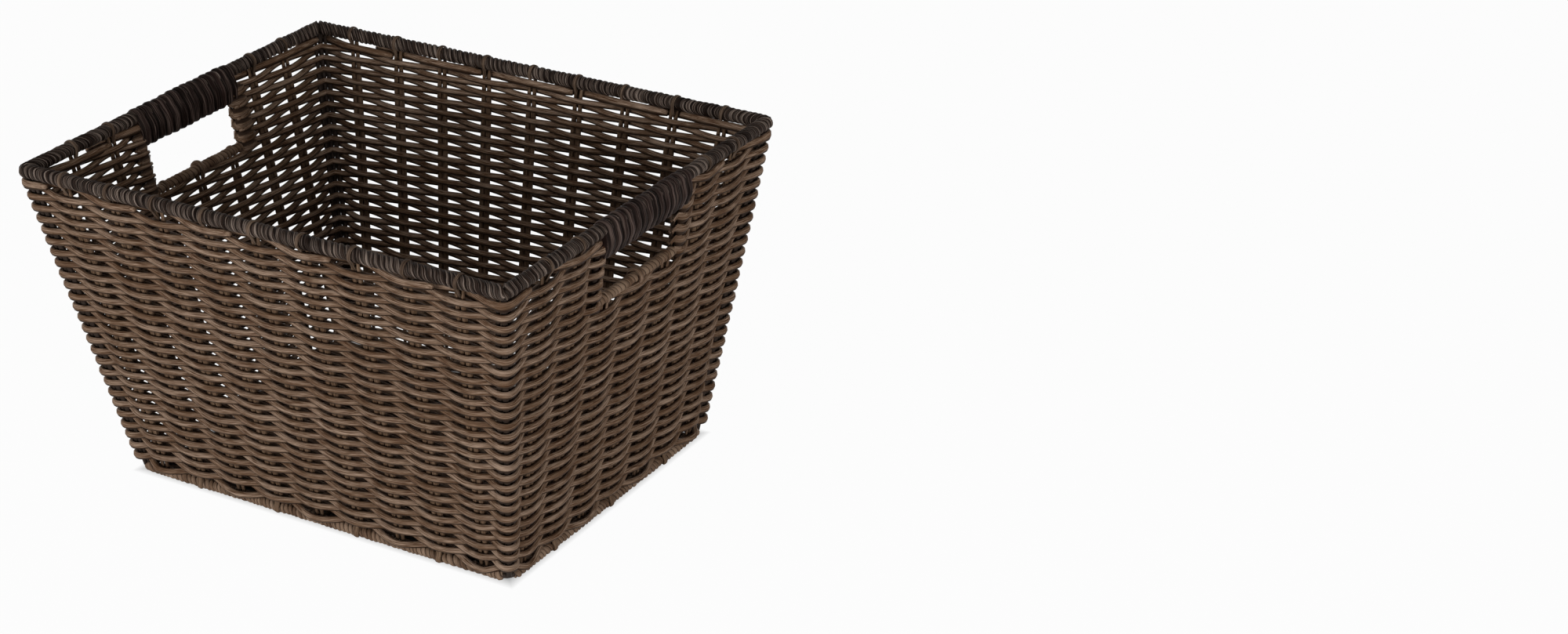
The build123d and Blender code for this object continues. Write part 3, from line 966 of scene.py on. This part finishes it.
def on_ring(half_x, half_y, middle, corner, s, profile):
    """A winding's profile set round a level ring at distances s."""
    spot, normal = loop_spots(half_x, half_y, corner, s)
    x = spot.real[:, None] + normal.real[:, None] * profile[..., 0]
    y = spot.imag[:, None] + normal.imag[:, None] * profile[..., 0]
    return np.stack([x, y, middle + profile[..., 1]], axis=-1)


def wind_rim():
    """The dark strap wound side by side round the rim, with blunt mitres and a crease at each corner."""
    halves = np.array([RIM[0], RIM[1], RIM[0], RIM[1]])
    ends = np.cumsum(2 * halves)

    def place(s, profile):
        side = np.minimum(np.searchsorted(ends, s, side="right"), 3)
        along = s - ends[side] + halves[side]
        apart = halves[side] - np.abs(along)
        profile = profile * (1 - RIM_CREASE * np.exp(-(apart / CREASE_WIDE) ** 2))[:, None, None]
        out = profile[..., 0]
        heading = np.round(1j ** side)[:, None]
        along = along[:, None] * (1 + np.minimum(out, RIM_MITRE) / halves[side][:, None])
        spot = heading * (along - 1j * (halves[side - 1][:, None] + out))
        return np.stack([spot.real, spot.imag, RIM[2] + profile[..., 1]], axis=-1)

    form = winding(ends[-1], RIM_STRAP, round_outline(RIM_RADIUS - RIM_RIDGE), RIM_RIDGE, place,
                   closed=True, starts=2, steps=8, uneven=0.25)
    walls = ["front", "back"] + [f"{wall}_{end}" for wall in ("left", "right") for end in ("front", "back")]
    walls += [f"corner_{end}_{wall}" for wall in ("left", "right") for end in ("front", "back")]
    make_piece("rim_winding", [form], DARK_STRAP, "dark_wrap", *[f"rim_wrap_{wall}" for wall in walls])


def wind_base():
    """Brown strands wound slanting round the base edge, with the wire bare at one corner."""
    runs = loop_runs(BASE[0], BASE[1], BASE_CORNER)
    bare = runs[0] + runs[1] / 2
    length = runs.sum() - 2 * BARE_CORNER

    def place(s, profile):
        draw = drawn_in(s, length, BASE_TAPER, END_DRAW)[..., None]
        points = on_ring(*BASE, BASE_CORNER, s + bare + BARE_CORNER, profile * draw)
        points[..., 2] = np.maximum(points[..., 2], FLOOR)
        return points

    form = winding(length, BASE_STRAP, round_outline(BASE_RADIUS - BASE_RIDGE), BASE_RIDGE, place,
                   starts=2, steps=8, uneven=0.35)
    make_piece("base_edge_winding", [form], BASE_CANE, "brown_wrap", "base_wrap")


def grip_outline(sides):
    """The outline round the rim and the bar below it, bulging between them, first down the outside."""
    bend = pi * GRIP_RADIUS
    around = 2 * bend + 2 * GRIP_DROP
    spots, normals = [], []
    for way in np.arange(sides) * around / sides:
        if way < bend / 2 or way >= around - bend / 2:
            angle = pi / 2 - (way if way < bend / 2 else way - around) / GRIP_RADIUS
            drop = 0.0
        elif way < bend / 2 + GRIP_DROP:
            angle = 0.0
            drop = way - bend / 2
        elif way < 1.5 * bend + GRIP_DROP:
            angle = -(way - bend / 2 - GRIP_DROP) / GRIP_RADIUS
            drop = GRIP_DROP
        else:
            angle = pi
            drop = around - bend / 2 - way
        bulge = GRIP_BULGE * sin(pi * drop / GRIP_DROP)
        normals.append((cos(angle), sin(angle)))
        spots.append(((GRIP_RADIUS + bulge) * cos(angle), GRIP_RADIUS * sin(angle) - drop))
    return np.array(spots), np.array(normals), around


def wind_grips():
    """The thick dark windings over the two hand holes."""
    length = GRIP_TURNS * GRIP_STRAP
    for name, side in (("right", 1), ("left", -1)):
        def place(s, profile):
            draw = drawn_in(s, length, GRIP_TAPER, GRIP_DRAW)
            middle = np.clip(profile[..., 1], -GRIP_DROP, 0.0)
            up = middle + (profile[..., 1] - middle) * draw
            return short_wall(side, (s - length / 2)[:, None], profile[..., 0] * draw, up)
        form = winding(length, GRIP_STRAP, grip_outline, GRIP_RIDGE, place, steps=32, uneven=0.1)
        make_piece(f"grip_strap_{name}", [form], GRIP_FINISH, "dark_wrap", f"grip_winding_{name}")


def wind_sills():
    """Brown strands wound round the lower bar of each hand hole."""
    length = 2 * (HOLE_POST - SILL_END)
    for name, side in (("right", 1), ("left", -1)):
        def place(s, profile):
            draw = drawn_in(s, length, SILL_TAPER, END_DRAW)
            return short_wall(side, (s - length / 2)[:, None], profile[..., 0] * draw,
                              profile[..., 1] * draw - SILL_DROP)
        form = winding(length, SILL_STRAP, round_outline(SILL_RADIUS - SILL_RIDGE), SILL_RIDGE, place,
                       starts=2, steps=8, uneven=0.3)
        make_piece(f"sill_winding_{name}", [form], SILL_CANE, "brown_wrap", f"sill_wrap_{name}")


wind_rim()
wind_base()
wind_grips()
wind_sills()


# Woven base

def weave_base():
    """Rods across the base, and rows of flat strands that go over and under them."""
    low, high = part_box("woven_base")
    middle = (low.z + high.z) / 2
    step = (high.x - low.x) / (BASE_RODS + 1)
    rods = []
    for order in range(BASE_RODS):
        x = (order - BASE_RODS // 2) * step
        points = np.linspace((x, low.y, middle), (x, high.y, middle), ROD_STEPS)
        rods.append(wire_form(points, np.tile([0.0, 0.0, 1.0], (ROD_STEPS, 1)), BASE_ROD))
    make_piece("base_rods_round", rods, STAKE_CANE, "stake", "base_rods")
    rows = []
    count = int((high.y - low.y) / MAT_PITCH)
    swing = (BASE_ROD + MAT_STRAND) / 2
    x = np.linspace(low.x - MAT_TUCK, high.x + MAT_TUCK, (BASE_RODS + 1) * SPAN_STEPS + 1)
    for row in range(count):
        y = (row - (count - 1) / 2) * MAT_PITCH + rng.normal(0, MAT_WANDER)
        sign = 1 if row % 2 else -1
        z = middle + sign * swing * np.cos(pi * x / step)
        points = np.stack([x, np.full(len(x), y), z], axis=1)
        outs = np.tile([0.0, 0.0, 1.0], (len(x), 1))
        rows.append(strand(points, outs, STRAND_TALL, MAT_STRAND))
    make_piece("base_rows", rows, CANE, "woven_strand", "woven_base")


weave_base()


# Floor, light and camera

def set_floor():
    """A plain white floor that glows for the camera and keeps the basket's shadow, with a painted contact
    shadow round the base's footprint.
    """
    signs = ((-1, -1), (1, -1), (1, 1), (-1, 1))
    corners = [(x * FLOOR_REACH, y * FLOOR_REACH, FLOOR) for x, y in signs]
    mesh = bpy.data.meshes.new("floor")
    mesh.from_pydata(corners, [], [(0, 1, 2, 3)])
    finish = Finish("white_floor")
    where = finish.node("TexCoord", {}, {}, "Object")
    x, y = [abs(finish.node("SeparateXYZ", {}, {0: where}, axis)) - half
            for axis, half in zip("XY", BASE)]
    # Painted shadow: the glow fades out over the edge of the base's footprint, so the floor there is darker
    # by position
    clear = finish.ramp(x.math("MAXIMUM", x, y), -SHADOW_REACH, SHADOW_REACH)
    paper = finish.node("BsdfDiffuse", {}, {"Color": (FLOOR_TONE, FLOOR_TONE, FLOOR_TONE, 1)})
    glow = finish.node("Emission", {}, {"Color": (1, 1, 1, 1)})
    blend = finish.node("MixShader", {}, {0: FLOOR_GLOW * clear * finish.seen(), 1: paper, 2: glow})
    feed(finish.tree, finish.tree.nodes["Material Output"].inputs["Surface"], blend)
    finish.tree.nodes.remove(finish.shader)
    mesh.materials.append(finish.material)
    floor = bpy.data.objects.new("floor", mesh)
    bpy.context.scene.collection.objects.link(floor)


def set_world():
    """Faint white light from all round; the camera sees plain white."""
    world = bpy.data.worlds.new("studio")
    bpy.context.scene.world = world
    world.use_nodes = True
    sky = Nodes(world.node_tree)
    background = world.node_tree.nodes["Background"]
    background.inputs["Color"].default_value = (1, 1, 1, 1)
    feed(sky.tree, background.inputs["Strength"], SKY_LEVEL + (1 - SKY_LEVEL) * sky.seen())


def add_lamp(name, place, size, power):
    """A wide soft lamp that faces the middle of the basket."""
    lamp = bpy.data.lights.new(name, "AREA")
    lamp.shape = "RECTANGLE"
    lamp.size = size[0]
    lamp.size_y = size[1]
    lamp.energy = power
    holder = bpy.data.objects.new(name, lamp)
    holder.location = place
    holder.rotation_euler = (Vector(LAMP_AIM) - Vector(place)).to_track_quat("-Z", "Y").to_euler()
    bpy.context.scene.collection.objects.link(holder)


def set_camera():
    """The photograph's view, from the right of the front corner and above."""
    azimuth = radians(30.78)
    elevation = radians(26.12)
    roll = radians(-0.78)
    distance = 2.141
    target = Vector((0.2569, 0.1100, 0.1283))
    back = Vector((sin(azimuth) * cos(elevation), -cos(azimuth) * cos(elevation), sin(elevation)))
    right = Vector((cos(azimuth), sin(azimuth), 0))
    up = back.cross(right)
    turned = right * cos(roll) + up * sin(roll)
    upright_axis = up * cos(roll) - right * sin(roll)
    data = bpy.data.cameras.new("camera")
    data.sensor_width = 36.0
    data.lens = 66.78
    camera = bpy.data.objects.new("camera", data)
    axes = Matrix((turned, upright_axis, back)).transposed().to_4x4()
    camera.matrix_world = Matrix.Translation(target + back * distance) @ axes
    bpy.context.scene.collection.objects.link(camera)
    bpy.context.scene.camera = camera


set_floor()
set_world()
add_lamp("key_lamp", (-0.9, -2.7, 0.45), LOW_LAMP, 62)
add_lamp("side_lamp", (2.6, -0.9, 0.45), LOW_LAMP, 47)
add_lamp("top_lamp", (0.5, -1.3, 2.2), TOP_LAMP, 10)
add_lamp("back_lamp", (-0.7, 2.7, 0.13), FILL_LAMP, 30)
add_lamp("left_lamp", (-2.6, 0.7, 0.13), FILL_LAMP, 22)
set_camera()
bpy.context.scene.view_settings.view_transform = "Standard"
